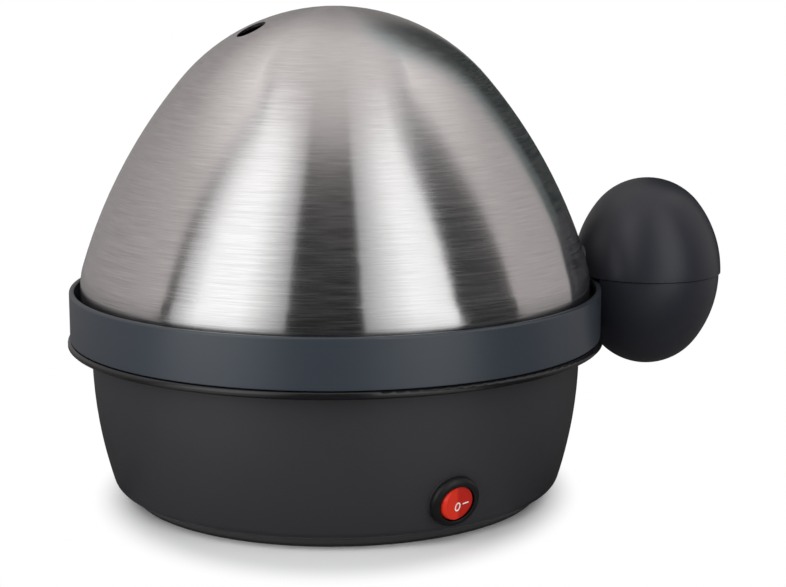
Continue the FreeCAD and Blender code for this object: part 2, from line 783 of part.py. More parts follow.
def switch_turned(*corners):
    """A solid turned about the switch's axis, from (radius, distance out, round) corners."""
    body = turned_corners(*corners)
    body.rotate(ORIGIN, Y_AXIS, 90)
    return body


def switch_body():
    seat = pad_proud
    bore = switch_body_radius - switch_body_wall
    front = seat + bezel_height
    body = switch_turned(
        (0, seat - switch_body_depth - switch_floor),
        (switch_body_radius, seat - switch_body_depth - switch_floor), (switch_body_radius, seat),
        (bezel_radius, seat), (bezel_radius, front, bezel_edge_round),
        (bezel_opening, front), (bore, front - bezel_height / 2), (bore, seat - switch_body_depth),
        (0, seat - switch_body_depth))
    pin_hole = Part.makeCylinder(pivot_radius + pivot_gap, 2 * bezel_radius,
                                 Vector(-pivot_depth, 0, -bezel_radius))
    pin_room = pin_hole.common(
        bar_along_x(switch_body_radius - switch_body_wall / 4, -bezel_radius, bezel_radius))
    return placed(body.cut(pin_room), switch_frame())


def switch_rocker():
    """A ball-sided rocker with a dished face and a stub pin at top and bottom."""
    pivot = X_AXIS * -pivot_depth
    ball = Part.makeSphere(rocker_ball_radius, pivot)
    slab = block((-pivot_depth - rocker_back, rocker_ball_radius), (-rocker_ball_radius, rocker_ball_radius),
                 (-rocker_ball_radius, rocker_ball_radius))
    pin_reach = switch_body_radius - switch_body_wall / 2 - fit_gap
    pins = Part.makeCylinder(pivot_radius, 2 * pin_reach, pivot - Z_AXIS * pin_reach)
    dish = Part.makeCylinder(rocker_dish_radius, 2 * bezel_radius,
                             Vector(rocker_front - pivot_depth + rocker_dish_radius, 0, -bezel_radius))
    rocker = joined(ball.common(slab), pins).cut(dish)
    rocker.rotate(pivot, Z_AXIS, rocker_rest_tilt)
    return placed(rocker, switch_frame())


def switch_terminals():
    back = pad_proud - switch_body_depth - switch_floor
    tab = block((back - terminal_length, back), (-terminal_thickness / 2, terminal_thickness / 2),
                (-terminal_width / 2, terminal_width / 2))
    places = [Placement(Y_AXIS * (step * terminal_spacing), Rotation()) for step in (-1, 0, 1)]
    return group([placed(placed(tab, place), switch_frame()) for place in places])


def switch_lamp():
    floor = pad_proud - switch_body_depth
    lamp = Part.makeCylinder(lamp_radius, lamp_length,
                             Vector(floor + lamp_radius + fit_gap, 0, -lamp_length / 2), Z_AXIS)
    return placed(lamp, switch_frame())


# Cord gland, cord clamp and terminal block

def gland_frame():
    return bowl_wall_frame(switch_height, gland_angle, 0)


def cord_gland():
    sleeve = gland_bore_radius + gland_wall
    outer_face = pad_proud + gland_flange_thickness
    body = turned_corners(
        (gland_bore_radius, pad_proud - gland_tail), (sleeve, pad_proud - gland_tail), (sleeve, pad_proud),
        (gland_flange_radius, pad_proud), (gland_flange_radius, outer_face, gland_flange_thickness / 2),
        (sleeve, outer_face), (sleeve - gland_nose_taper, outer_face + gland_nose),
        (gland_bore_radius, outer_face + gland_nose))
    body.rotate(ORIGIN, Y_AXIS, 90)
    return placed(body, gland_frame())


def gland_nut():
    nut = hexagon(gland_nut_across_flats, -pad_depth - gland_nut_height, -pad_depth).cut(
        rod(gland_bore_radius + gland_wall + screw_gap, -pad_depth - gland_nut_height - overrun,
            -pad_depth + overrun))
    nut.rotate(ORIGIN, Y_AXIS, 90)
    return placed(nut, gland_frame())


def clamp_post_top():
    return switch_height - clamp_post_drop


def cord_clamp():
    """A bridge over the cord, on two posts of the bottom cover."""
    half_width = clamp_strap_width / 2
    x_range = (clamp_distance - half_width, clamp_distance + half_width)
    reach = clamp_span / 2 + clamp_post_radius
    strap = block(x_range, (-reach, reach), (clamp_post_top(), switch_height + clamp_strap_top))
    cord_way = Part.makeCylinder(gland_bore_radius, clamp_strap_width + 2 * overrun,
                                 Vector(x_range[0] - overrun, 0, switch_height), X_AXIS)
    hole = rod(small_screw_radius + fit_gap, clamp_post_top() - overrun,
               switch_height + clamp_strap_top + overrun, x=clamp_distance, y=clamp_span / 2)
    return spun(strap.cut([cord_way, *mirrored_pair(hole)]), gland_angle)


def clamp_screws():
    top = switch_height + clamp_strap_top
    one = screw(small_screw_radius, top - cover_top - fit_gap, small_head_radius, small_head_height)
    one.translate(Vector(clamp_distance, clamp_span / 2, top))
    return group([spun(each, gland_angle) for each in mirrored_pair(one)])


def block_screw_place():
    return block_length / 2 - 2 * block_screw_radius


def terminal_block():
    half = block_width / 2
    top = cover_top + block_height
    body = block((block_distance - half, block_distance + half), (-block_length / 2, block_length / 2),
                 (cover_top, top))
    ways = [Part.makeCylinder(block_hole_radius, block_width + 2 * overrun,
                              Vector(block_distance - half - overrun, place * block_hole_pitch,
                                     top - 2 * block_hole_radius), X_AXIS)
            for place in range(-(block_hole_count // 2), block_hole_count // 2 + 1)]
    hole = rod(block_screw_radius + fit_gap, cover_top - overrun, top + overrun, x=block_distance,
               y=block_screw_place())
    return spun(body.cut([*ways, *mirrored_pair(hole)]), gland_angle)


def block_screws():
    length = block_height + cover_thickness
    one = screw(block_screw_radius, length, small_head_radius, small_head_height)
    one.translate(Vector(block_distance, block_screw_place(), cover_top + block_height))
    return group([spun(each, gland_angle) for each in mirrored_pair(one)])


# Egg tray

def egg_tray():
    """Collar, deck, skirt, drip ridge, ribs, handle tongue and lipped egg seats in one moulding."""
    collar = turned_corners((collar_inner_radius, collar_bottom), (collar_radius, collar_bottom),
                            (collar_radius, collar_top, collar_lip_round),
                            (collar_inner_radius + collar_lip_round / 2, collar_top),
                            (collar_inner_radius, collar_top - collar_lip_round / 2))
    deck = rod(collar_radius - collar_wall / 2, deck_bottom, deck_top)
    skirt = ring(tray_skirt_inner_radius, tray_skirt_radius, tray_skirt_bottom, deck_bottom)
    bevel = ridge_width / 4
    ridge = turned_corners((ridge_radius - ridge_width, deck_bottom), (ridge_radius, deck_bottom),
                           (ridge_radius, deck_top + ridge_height - bevel),
                           (ridge_radius - bevel, deck_top + ridge_height),
                           (ridge_radius - ridge_width, deck_top + ridge_height))
    rib = block((tray_skirt_radius - tray_skirt_wall / 2, collar_inner_radius + collar_wall / 2),
                (-rib_thickness / 2, rib_thickness / 2), (collar_bottom + seat_gap, deck_bottom))
    lip = rod(egg_seat_radius + seat_lip_wall, deck_bottom, deck_top + seat_lip_height)
    body = joined(collar, deck, skirt, ridge, handle_tongue(), *pattern(rib, rib_count, 180 / rib_count),
                  *[placed(lip, seat) for seat in egg_seats()])
    seat_cut = rod(egg_seat_radius, deck_bottom - overrun, deck_top + seat_lip_height + overrun)
    notch = block((0, egg_seat_radius + seat_lip_wall + fit_gap),
                  (-seat_notch_width / 2, seat_notch_width / 2),
                  (deck_top, deck_top + seat_lip_height + overrun))
    notches = pattern(notch, seat_notch_count, 180 / seat_notch_count)
    steam_hole = rod(steam_hole_radius, deck_bottom - overrun, deck_top + overrun, x=steam_hole_circle_radius)
    cuts = pattern(steam_hole, egg_seat_count)
    for seat in egg_seats():
        cuts += [placed(cut, seat) for cut in [seat_cut, *notches]]
    return body.cut(cuts)


def egg_seats():
    """Frames of the egg seats: one in the middle and the others evenly round it."""
    around = [Placement(spun_point(X_AXIS * egg_circle_radius, (turn + 0.5) * 360 / egg_seat_count),
                        Rotation(Z_AXIS, (turn + 0.5) * 360 / egg_seat_count))
              for turn in range(egg_seat_count)]
    return [Placement(), *around]


def tongue_screw_points():
    reach = collar_radius + tongue_screw_reach
    return [Vector(reach, side * tongue_screw_spread, 0) for side in (-1, 1)]


def handle_tongue():
    """The tray's tongue, which reaches into the lower half of the handle."""
    tongue = block((collar_inner_radius + collar_wall / 2, collar_radius + tongue_reach),
                   (-tongue_width / 2, tongue_width / 2), (tongue_bottom, tongue_bottom + tongue_thickness))
    holes = [rod(small_screw_radius + fit_gap, tongue_bottom - overrun,
                 tongue_bottom + tongue_thickness + overrun, x=point.x, y=point.y)
             for point in tongue_screw_points()]
    return tongue.cut(holes)


# Lower half of the handle

def saddle_cut(spare):
    """What the lower half leaves free: the collar, and below it the wider rim it lifts past."""
    beside_collar = rod(collar_radius + fit_gap + spare, collar_bottom - overrun, seam_height + overrun)
    below_collar = rod(rim_radius + seat_gap + fit_gap + spare, seam_height - lower_handle_height - overrun,
                       collar_bottom)
    return joined(beside_collar, below_collar)


def plate_screw_points():
    return [Vector(handle_distance, side * plate_screw_spread, 0) for side in (-1, 1)]


def lower_core(inset):
    """The lower half's form, moved in all round by inset, in straight lengths."""
    core = half_egg_core(lower_handle_radius - inset, inset - lower_handle_height, lower_seam)
    return core.cut(saddle_cut(inset))


def lower_handle_shell():
    outer = half_egg(lower_handle_radius, -lower_handle_height, lower_seam).cut(saddle_cut(0))
    plate_top = lower_seam - plate_thickness
    bosses = [rod(plate_boss_radius, seam_height - lower_handle_height, plate_top - fit_gap,
                  x=point.x, y=point.y) for point in plate_screw_points()]
    bosses += [rod(plate_boss_radius, seam_height - lower_handle_height, tongue_bottom - fit_gap,
                   x=point.x, y=point.y) for point in tongue_screw_points()]
    boss_room = lower_core(handle_wall / 2)
    shell = joined(outer.cut(lower_core(handle_wall)), *[boss.common(boss_room) for boss in bosses])
    rebate = rod(lower_handle_radius - plate_rim, plate_top, lower_seam + overrun, x=handle_distance).cut(
        saddle_cut(plate_rim))
    slot = block((collar_inner_radius, collar_radius + handle_wall + overrun),
                 (-tongue_width / 2 - fit_gap, tongue_width / 2 + fit_gap),
                 (tongue_bottom - fit_gap, tongue_bottom + tongue_thickness + fit_gap))
    pilots = [rod(small_screw_radius + screw_gap, plate_top - plate_screw_length, lower_seam + overrun,
                  x=point.x, y=point.y) for point in plate_screw_points()]
    pilots += [rod(small_screw_radius + screw_gap, tongue_bottom - plate_screw_length, tongue_bottom,
                   x=point.x, y=point.y) for point in tongue_screw_points()]
    return shell.cut([rebate, slot, *pilots])


def handle_plate(radius, low, high, saddle, head_low):
    """A flat closing plate with two countersunk places for its screws."""
    plate = rod(radius - plate_rim - fit_gap, low, high, x=handle_distance).cut(saddle)
    cuts = []
    for point in plate_screw_points():
        cuts.append(rod(small_screw_radius + fit_gap, low - overrun, high + overrun, x=point.x, y=point.y))
        cuts.append(rod(small_head_radius + fit_gap, head_low, head_low + plate_thickness / 2,
                        x=point.x, y=point.y))
    return plate.cut(cuts)


def lower_handle_plate():
    return handle_plate(lower_handle_radius, lower_seam - plate_thickness, lower_seam,
                        saddle_cut(plate_rim + fit_gap), lower_seam - plate_thickness / 2)


def plate_screw(length):
    return screw(small_screw_radius, length, small_head_radius, plate_thickness / 2 - fit_gap)


def lower_plate_screws():
    one = plate_screw(plate_screw_length)
    one.translate(Z_AXIS * (lower_seam - plate_thickness / 2))
    return group([placed(one, Placement(point, Rotation())) for point in plate_screw_points()])


def tongue_screws():
    one = screw(small_screw_radius, plate_screw_length, small_head_radius, small_head_height)
    one.translate(Z_AXIS * (tongue_bottom + tongue_thickness))
    return group([placed(one, Placement(point, Rotation())) for point in tongue_screw_points()])


# Lid

def handle_screw_frames():
    return [dome.wall_frame(seam_height + handle_screw_rise, side * handle_screw_spread) for side in (-1, 1)]


def lid_dome():
    """A thin spun dome with a rolled bead at its foot, a steam vent and two screw holes."""
    bevel = bead_width / 4
    inner = lid_radius - bead_width
    shell = dome.body(0, lid_bottom + bevel).cut(dome.body(lid_wall, lid_bottom - overrun))
    bead_top = lid_bottom + bead_width
    bead = turned_corners((inner + bevel, lid_bottom), (lid_radius - bevel, lid_bottom),
                          (lid_radius, lid_bottom + bevel), (lid_radius, bead_top), (inner + bevel, bead_top),
                          (inner, bead_top - bevel), (inner, lid_bottom + bevel))
    vent_low = lid_top - crown_radius + math.sqrt((crown_radius - lid_wall) ** 2 - vent_distance ** 2)
    vent_point = spun_point(X_AXIS * vent_distance, vent_angle)
    vent = rod(vent_radius, vent_low - crown_radius / 2, lid_top + overrun, x=vent_point.x, y=vent_point.y)
    holes = [placed(bar_along_x(handle_screw_radius + fit_gap, -overrun - lid_wall, overrun), frame)
             for frame in handle_screw_frames()]
    return joined(shell, bead).cut([vent, *holes])


def upper_core(inset):
    """The upper half's form, moved in all round by inset, in straight lengths."""
    core = half_egg_core(handle_radius - inset, upper_handle_height - inset, upper_seam)
    return core.cut(dome.body(-fit_gap - inset, lid_bottom))


def upper_handle_shell():
    """The upper half of the egg, with a short neck whose saddle lies on the dome."""
    egg = half_egg(handle_radius, upper_handle_height, upper_seam)
    neck = block((lid_radius - neck_height, handle_distance - handle_radius / 2),
                 (-neck_width / 2, neck_width / 2), (upper_seam, upper_seam + neck_height))
    ridges = [edge for edge in neck.Edges
              if edge.BoundBox.XLength > neck_round and edge.BoundBox.ZMin > upper_seam + neck_height / 2]
    neck = neck.makeFillet(neck_round, ridges)
    outer = joined(egg, neck).cut(dome.body(-fit_gap, lid_bottom))
    bosses = [rod(plate_boss_radius, upper_seam + plate_thickness + fit_gap,
                  seam_height + upper_handle_height, x=point.x, y=point.y) for point in plate_screw_points()]
    bosses += [placed(bar_along_x(handle_boss_radius, 0, handle_boss_length), frame)
               for frame in handle_screw_frames()]
    boss_room = upper_core(handle_wall / 2)
    shell = joined(outer.cut(upper_core(handle_wall)), *[boss.common(boss_room) for boss in bosses])
    rebate = rod(handle_radius - plate_rim, upper_seam - overrun, upper_seam + plate_thickness,
                 x=handle_distance).cut(dome.body(-fit_gap - plate_rim, lid_bottom))
    pilots = [rod(small_screw_radius + screw_gap, upper_seam,
                  upper_seam + plate_thickness + plate_screw_length, x=point.x, y=point.y)
              for point in plate_screw_points()]
    pilot = bar_along_x(handle_screw_radius + screw_gap, -overrun, handle_screw_length + fit_gap)
    pilots += [placed(pilot, frame) for frame in handle_screw_frames()]
    return shell.cut([rebate, *pilots])


def upper_handle_plate():
    return handle_plate(handle_radius, upper_seam, upper_seam + plate_thickness,
                        dome.body(-2 * fit_gap - plate_rim, lid_bottom), upper_seam)


def upper_plate_screws():
    one = plate_screw(plate_screw_length)
    one.rotate(ORIGIN, X_AXIS, 180)
    one.translate(Z_AXIS * (upper_seam + plate_thickness / 2))
    return group([placed(one, Placement(point, Rotation())) for point in plate_screw_points()])


def handle_washers():
    washer = bar_along_x(washer_radius, -lid_wall - washer_thickness, -lid_wall).cut(
        bar_along_x(handle_screw_radius + fit_gap, -overrun - lid_wall, overrun))
    inside = dome.body(lid_wall, lid_bottom)
    return group([placed(washer, frame).common(inside) for frame in handle_screw_frames()])


def upper_handle_screws():
    seat = -lid_wall - washer_thickness
    one = screw(handle_screw_radius, handle_screw_length - seat, small_head_radius + fit_gap,
                small_head_height)
    one.rotate(ORIGIN, Y_AXIS, -90)
    one.translate(X_AXIS * seat)
    return group([placed(one, frame) for frame in handle_screw_frames()])


parts = {
    "base_housing": base_housing,
    "bottom_cover": bottom_cover,
    "foot_ring": foot_ring,
    "cover_screws": cover_screws,
    "rim_ring": rim_ring,
    "pan_seal": pan_seal,
    "heating_pan": heating_pan,
    "heat_spreader": heat_spreader,
    "heating_element": heating_element,
    "reflector_plate": reflector_plate,
    "clamp_studs": clamp_studs,
    "clamp_nuts": clamp_nuts,
    "thermostat": thermostat,
    "thermostat_bracket": thermostat_bracket,
    "bracket_screws": bracket_screws,
    "thermal_fuse": thermal_fuse,
    "fuse_clip": fuse_clip,
    "switch_body": switch_body,
    "switch_rocker": switch_rocker,
    "switch_terminals": switch_terminals,
    "switch_lamp": switch_lamp,
    "cord_gland": cord_gland,
    "gland_nut": gland_nut,
    "cord_clamp": cord_clamp,
    "clamp_screws": clamp_screws,
    "terminal_block": terminal_block,
    "block_screws": block_screws,
    "egg_tray": egg_tray,
    "lower_handle_shell": lower_handle_shell,
    "lower_handle_plate": lower_handle_plate,
    "lower_plate_screws": lower_plate_screws,
    "tongue_screws": tongue_screws,
    "lid_dome": lid_dome,
    "upper_handle_shell": upper_handle_shell,
    "upper_handle_plate": upper_handle_plate,
    "upper_plate_screws": upper_plate_screws,
    "handle_washers": handle_washers,
    "upper_handle_screws": upper_handle_screws,
}

os.makedirs("parts", exist_ok=True)
for name, make in parts.items():
    shape = make()
    shape.exportStep(f"parts/{name}.step")
    print(name, "solids", len(shape.Solids), "valid", shape.isValid(), "volume", round(shape.Volume, 1))
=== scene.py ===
# %% [markdown]
# # An electric egg boiler, dressed for a studio picture
#
# The object is a small kitchen appliance: a charcoal plastic bowl with a heater inside, a blue-grey
# tray whose tall collar rings the bowl, a brushed steel dome over the eggs, and an egg-shaped handle
# whose upper half lifts the dome and whose lower half lifts the tray. Its solids come from the CAD
# model. This lesson gives them their finishes, adds the marks on the switch, and builds the studio
# that the steel mirrors. Everything is in metres, with the table at z = 0.

# %% Load the frame
import json
import math

import bpy
import numpy as np
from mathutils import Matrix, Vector


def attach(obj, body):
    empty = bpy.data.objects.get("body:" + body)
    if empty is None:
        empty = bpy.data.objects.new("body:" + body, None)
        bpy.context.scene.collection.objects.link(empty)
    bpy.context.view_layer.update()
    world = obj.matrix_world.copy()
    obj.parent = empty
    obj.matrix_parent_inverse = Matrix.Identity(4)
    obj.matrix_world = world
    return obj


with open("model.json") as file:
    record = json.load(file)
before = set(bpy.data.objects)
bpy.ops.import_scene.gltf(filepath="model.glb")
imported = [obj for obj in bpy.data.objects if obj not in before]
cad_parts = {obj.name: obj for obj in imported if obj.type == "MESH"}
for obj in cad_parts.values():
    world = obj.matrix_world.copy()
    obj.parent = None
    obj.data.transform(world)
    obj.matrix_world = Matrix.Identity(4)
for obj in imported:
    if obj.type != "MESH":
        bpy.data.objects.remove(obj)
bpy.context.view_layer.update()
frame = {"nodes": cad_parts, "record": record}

MM = 0.001
nodes = frame["nodes"]

# %% [markdown]
# ## The camera
#
# The photo was taken with a long lens from a little above the table and a little to the left of the
# front. The distance, the two angles and the focal length were worked out from the way the collar's
# and the bowl's ellipses open. The camera looks straight at its target, with no shift, so that
# every other view can use it too.

# %% Camera
camera_azimuth = math.radians(-10.0)
camera_elevation = math.radians(10.65)
camera_distance = 0.624
camera_target = Vector((0.01818, -0.00321, 0.0641))

towards_camera = Vector((math.sin(camera_azimuth) * math.cos(camera_elevation),
                         -math.cos(camera_azimuth) * math.cos(camera_elevation),
                         math.sin(camera_elevation)))
camera_data = bpy.data.cameras.new("studio_camera")
camera_data.sensor_width = 36.0
camera_data.lens = 88.08
camera_data.clip_start = 0.05
camera = bpy.data.objects.new("studio_camera", camera_data)
camera.location = camera_target + towards_camera * camera_distance
camera.rotation_mode = "QUATERNION"
camera.rotation_quaternion = (-towards_camera).to_track_quat("-Z", "Y")
bpy.context.scene.collection.objects.link(camera)
bpy.context.scene.camera = camera
print("camera at", [round(value, 3) for value in camera.location])

# %% [markdown]
# ## Helpers for surfaces and nodes
#
# A surface is a grid of points worked out by numpy, one row per step of its first parameter, and it
# goes into a mesh in one call. A closed direction wraps round to its first row or column. Materials
# are small node trees, so a few short helpers add a node and feed its sockets. Each of them takes a
# socket of another node or a plain value.

# %% Mesh helpers
def link_object(name, data):
    """Puts data into the scene as an object at the origin."""
    piece = bpy.data.objects.new(name, data)
    bpy.context.scene.collection.objects.link(piece)
    return piece


def grid_piece(name, points, wrap_rows=False, wrap_columns=False, smooth=True):
    """A surface through points[row, column] = (x, y, z): each cell of the grid is one face."""
    rows, columns = points.shape[:2]
    row = np.arange(rows if wrap_rows else rows - 1)[:, None]
    column = np.arange(columns if wrap_columns else columns - 1)[None, :]
    next_row, next_column = (row + 1) % rows, (column + 1) % columns
    corners = [row * columns + column, next_row * columns + column,
               next_row * columns + next_column, row * columns + next_column]
    faces = np.stack([np.broadcast_to(corner, (row.size, column.size)) for corner in corners], -1)
    mesh = bpy.data.meshes.new(name)
    mesh.from_pydata(points.reshape(-1, 3), [], faces.reshape(-1, 4))
    mesh.polygons.foreach_set("use_smooth", np.full(len(mesh.polygons), smooth))
    mesh.update()
    return link_object(name, mesh)


# %% Node helpers
def add(tree, kind, **settings):
    """Adds a node of the given kind to the tree and sets its plain properties."""
    node = tree.nodes.new(kind)
    for key, value in settings.items():
        setattr(node, key, value)
    return node


def join(tree, source, target):
    """Links source to the socket target, or sets target where source is a plain value."""
    if isinstance(source, bpy.types.NodeSocket):
        tree.links.new(source, target)
    else:
        target.default_value = source


def maths(tree, operation, *values):
    """A Math node on sockets or numbers, and its result."""
    node = add(tree, "ShaderNodeMath", operation=operation)
    for socket, value in zip(node.inputs, values):
        join(tree, value, socket)
    return node.outputs[0]


def vector_maths(tree, operation, *values):
    """A Vector Math node on sockets or triples, and its result, a vector or for some a number."""
    node = add(tree, "ShaderNodeVectorMath", operation=operation)
    for socket, value in zip(node.inputs, values):
        join(tree, value, socket)
    return node.outputs["Value" if operation in ("LENGTH", "DISTANCE", "DOT_PRODUCT") else "Vector"]


def object_place(tree):
    """The point in the piece's own coordinates, which are the frame's."""
    return add(tree, "ShaderNodeTexCoord").outputs["Object"]


def ramp(tree, factor, *stops):
    """A colour ramp on factor through (place, colour) stops."""
    node = add(tree, "ShaderNodeValToRGB")
    elements = node.color_ramp.elements
    while len(elements) < len(stops):
        elements.new(0.5)
    for element, (place, colour) in zip(elements, stops):
        element.position = place
        element.color = (*colour, 1.0)
    join(tree, factor, node.inputs["Fac"])
    return node.outputs["Color"]


def remap(tree, value, low, high, from_low=0.0, from_high=1.0, interpolation="LINEAR"):
    """low + (high - low) * share, where share = (value - from_low) / (from_high - from_low).

    The share is held between 0 and 1, and SMOOTHSTEP eases it at both ends."""
    node = add(tree, "ShaderNodeMapRange", interpolation_type=interpolation)
    for label, number in (("Value", value), ("From Min", from_low), ("From Max", from_high),
                          ("To Min", low), ("To Max", high)):
        join(tree, number, node.inputs[label])
    return node.outputs["Result"]


def overlay(tree, share, under, colour):
    """The colour socket under where share is 0, and the plain colour where it is 1."""
    node = add(tree, "ShaderNodeMix", data_type="RGBA")
    join(tree, share, node.inputs["Factor"])
    join(tree, under, node.inputs[6])
    join(tree, (*colour, 1.0), node.inputs[7])
    return node.outputs[2]


def mix_shaders(tree, share, first, second):
    """The first shader where share is 0 and the second where it is 1."""
    node = add(tree, "ShaderNodeMixShader")
    for socket, value in zip(node.inputs, (share, first, second)):
        join(tree, value, socket)
    return node.outputs[0]


def seen_directly(tree):
    """1 for camera, glossy and transmission rays, which show things, and 0 for rays that light them."""
    rays = add(tree, "ShaderNodeLightPath").outputs
    seen = maths(tree, "MAXIMUM", rays["Is Camera Ray"], rays["Is Glossy Ray"])
    return maths(tree, "MAXIMUM", seen, rays["Is Transmission Ray"])


# %% [markdown]
# ## The studio
#
# A steel dome has hardly any colour of its own: what one sees is the studio. The photo's dome shows
# two tall bright bands, which are two soft boxes, a black flag between them, another at the right,
# plain grey at the sides, and a pale ceiling over all. So the studio has two tall area lamps, which
# light the plastics and the floor, and a ring of upright cards under a ceiling, which is what the
# steel mirrors. Only glossy rays see the cards and only diffuse rays see the lamps, so each can be
# set by itself, and the camera never sees any of them whichever way it turns. The angle of a card is
# counted from the camera's own direction, to the right, and half of it is where its band stands on
# the dome.
#
# The world is a dim room for the rays that light things, and plain white for those that show it. The
# floor is paper that keeps the object's shadow close by, and turns to the same white further out,
# sooner at the sides than in front. From below the camera looks through it.

# %% World
scene = bpy.context.scene
scene.view_settings.view_transform = "Standard"

white_colour = (1.0, 1.0, 1.0, 1.0)
room_colour, room_strength = (0.97, 0.98, 1.0, 1.0), 0.45
world = bpy.data.worlds.new("studio_world")
scene.world = world
world.use_nodes = True
tree = world.node_tree
tree.nodes.clear()
room_light, white_wall = add(tree, "ShaderNodeBackground"), add(tree, "ShaderNodeBackground")
join(tree, room_colour, room_light.inputs["Color"])
join(tree, room_strength, room_light.inputs["Strength"])
join(tree, white_colour, white_wall.inputs["Color"])
join(tree, 1.0, white_wall.inputs["Strength"])
join(tree, mix_shaders(tree, seen_directly(tree), room_light.outputs[0], white_wall.outputs[0]),
     add(tree, "ShaderNodeOutputWorld").inputs["Surface"])
print("world:", world.name, "with room light", room_strength)

# %% Floor
floor_reach, floor_tone = 0.6, 0.93
paper_reach, white_reach = 0.064, 0.080
front_stretch = 1.28
ring_count, turn_count = 6, 64
floor_rings = np.linspace(0, 1, ring_count) * floor_reach
floor_turns = np.linspace(0, 2 * np.pi, turn_count, endpoint=False)
floor_points = np.stack([np.outer(floor_rings, np.cos(floor_turns)),
                         np.outer(floor_rings, np.sin(floor_turns)),
                         np.zeros((floor_rings.size, floor_turns.size))], -1)
floor = grid_piece("floor", floor_points, wrap_columns=True)

floor_paper = bpy.data.materials.new("floor_paper")
floor_paper.use_nodes = True
tree = floor_paper.node_tree
tree.nodes.clear()
oval = add(tree, "ShaderNodeMapping", vector_type="TEXTURE")
join(tree, (0.0, 0.0, camera_azimuth), oval.inputs["Rotation"])
join(tree, (1.0, front_stretch, 1.0), oval.inputs["Scale"])
join(tree, object_place(tree), oval.inputs["Vector"])
far_share = remap(tree, vector_maths(tree, "LENGTH", oval.outputs["Vector"]), 0.0, 1.0,
                  paper_reach, white_reach, "SMOOTHSTEP")
paper, white = add(tree, "ShaderNodeBsdfDiffuse"), add(tree, "ShaderNodeEmission")
join(tree, (floor_tone, floor_tone, floor_tone, 1.0), paper.inputs["Color"])
from_above = mix_shaders(tree, maths(tree, "MULTIPLY", far_share, seen_directly(tree)),
                         paper.outputs[0], white.outputs[0])
join(tree, mix_shaders(tree, add(tree, "ShaderNodeNewGeometry").outputs["Backfacing"], from_above,
                       add(tree, "ShaderNodeBsdfTransparent").outputs[0]),
     add(tree, "ShaderNodeOutputMaterial").inputs["Surface"])
floor.data.materials.append(floor_paper)
print("floor reaches", floor_reach, "m from the object")


# %% Soft boxes and cards
lamp_aim = Vector((0, 0, 0.08))
card_columns = 33


def studio_direction(angle):
    """The level direction at an angle in degrees, counted from the camera's to the right."""
    turn = camera_azimuth + math.radians(angle)
    return Vector((math.sin(turn), -math.cos(turn), 0.0))


def soft_box(name, angle, brightness, width=1.1, height=1.7, middle=0.55, distance=1.2):
    """A tall area lamp that faces the object. Its power is its brightness times pi times its area."""
    lamp = bpy.data.lights.new(name, "AREA")
    lamp.shape = "RECTANGLE"
    lamp.size, lamp.size_y = width, height
    lamp.energy = brightness * math.pi * width * height
    box = bpy.data.objects.new(name, lamp)
    place = studio_direction(angle) * distance + Vector((0, 0, middle))
    box.location = place
    box.rotation_euler = (lamp_aim - place).to_track_quat("-Z", "Y").to_euler()
    box.visible_camera = False
    box.visible_glossy = False
    scene.collection.objects.link(box)


card_reach, card_height, card_foot = 1.0, 1.8, 0.002
card_path = np.array([(reach, card_foot) for reach in (0.07, 0.11, 0.25, 0.45, card_reach)]
                     + [(card_reach, card_height * share) for share in (0.4, 0.6, 1.0)])
ceiling_path = np.array([(card_reach * share, card_height) for share in (0.0, 0.5, 1.0)])


def card(name, first, last, first_glow, last_glow, tint=(1.0, 1.0, 1.0), rows=1.0,
         path=card_path):
    """A glowing card that only glossy rays see: path[row] = (reach, height), swept round the object.

    At a share s of the way from its first angle to its last, a row glows with
    (first_glow + (last_glow - first_glow) * s) * rows[row], times its tint.
    """
    share = np.linspace(0, 1, card_columns)
    turn = camera_azimuth + np.radians(first + (last - first) * share)
    reach, height = path[:, :1], path[:, 1:]
    points = np.stack(np.broadcast_arrays(reach * np.sin(turn), -reach * np.cos(turn), height), -1)
    piece = grid_piece(name, points)
    glow = first_glow + (last_glow - first_glow) * share
    colours = np.ones((len(path), share.size, 4))
    colours[..., :3] = np.resize(rows, (len(path), 1, 1)) * glow[:, None] * np.array(tint)
    layer = piece.data.color_attributes.new("glow", "FLOAT_COLOR", "POINT")
    layer.data.foreach_set("color", colours.ravel())
    piece.data.materials.append(card_paint)
    for ray in ("camera", "diffuse", "transmission", "shadow", "volume_scatter"):
        setattr(piece, "visible_" + ray, False)


card_paint = bpy.data.materials.new("card_paint")
card_paint.use_nodes = True
tree = card_paint.node_tree
tree.nodes.clear()
glow = add(tree, "ShaderNodeEmission")
join(tree, add(tree, "ShaderNodeAttribute", attribute_name="glow").outputs["Color"],
     glow.inputs["Color"])
join(tree, glow.outputs[0], add(tree, "ShaderNodeOutputMaterial").inputs["Surface"])

# %% [markdown]
# A card lies on the floor from near the object outwards, in five rows of points, and then stands up
# in three more. The lists of rows say how much of its glow each row has: a wall brightens upwards,
# and a flag with rows of its own is black below and pale at the top, where the ceiling begins. The
# low flag turns pale sooner.

# %% The ring of cards
warm, cool = (1.03, 0.965, 0.95), (0.9, 1.05, 1.05)
box_rows = (0.05, 0.1, 0.3, 0.9, 1.0, 1.0, 1.0, 1.0)
wall_rows = (0.1, 0.15, 0.35, 0.6, 0.88, 1.15, 1.7, 2.4)
flag_rows = (0.5, 0.5, 0.5, 1.0, 1.0, 1.0, 1.5, 16.0)
low_flag_rows = (0.5, 0.5, 0.5, 1.0, 1.0, 7.0, 10.0, 16.0)
soft_box("left_soft_box", -49, 2.0)
soft_box("right_soft_box", 38, 1.7, middle=0.9)
card("left_grey_card", -168, -76.5, 0.30, 0.54, warm, wall_rows)
card("left_dark_edge", -76.5, -71.5, 0.06, 0.06, warm, wall_rows)
card("left_box_rise", -71.5, -58, 0.46, 1.5, rows=box_rows)
card("left_box_face", -58, -39, 1.5, 1.5, rows=box_rows)
card("left_box_fall", -39, -18.8, 1.5, 0.42, rows=box_rows)
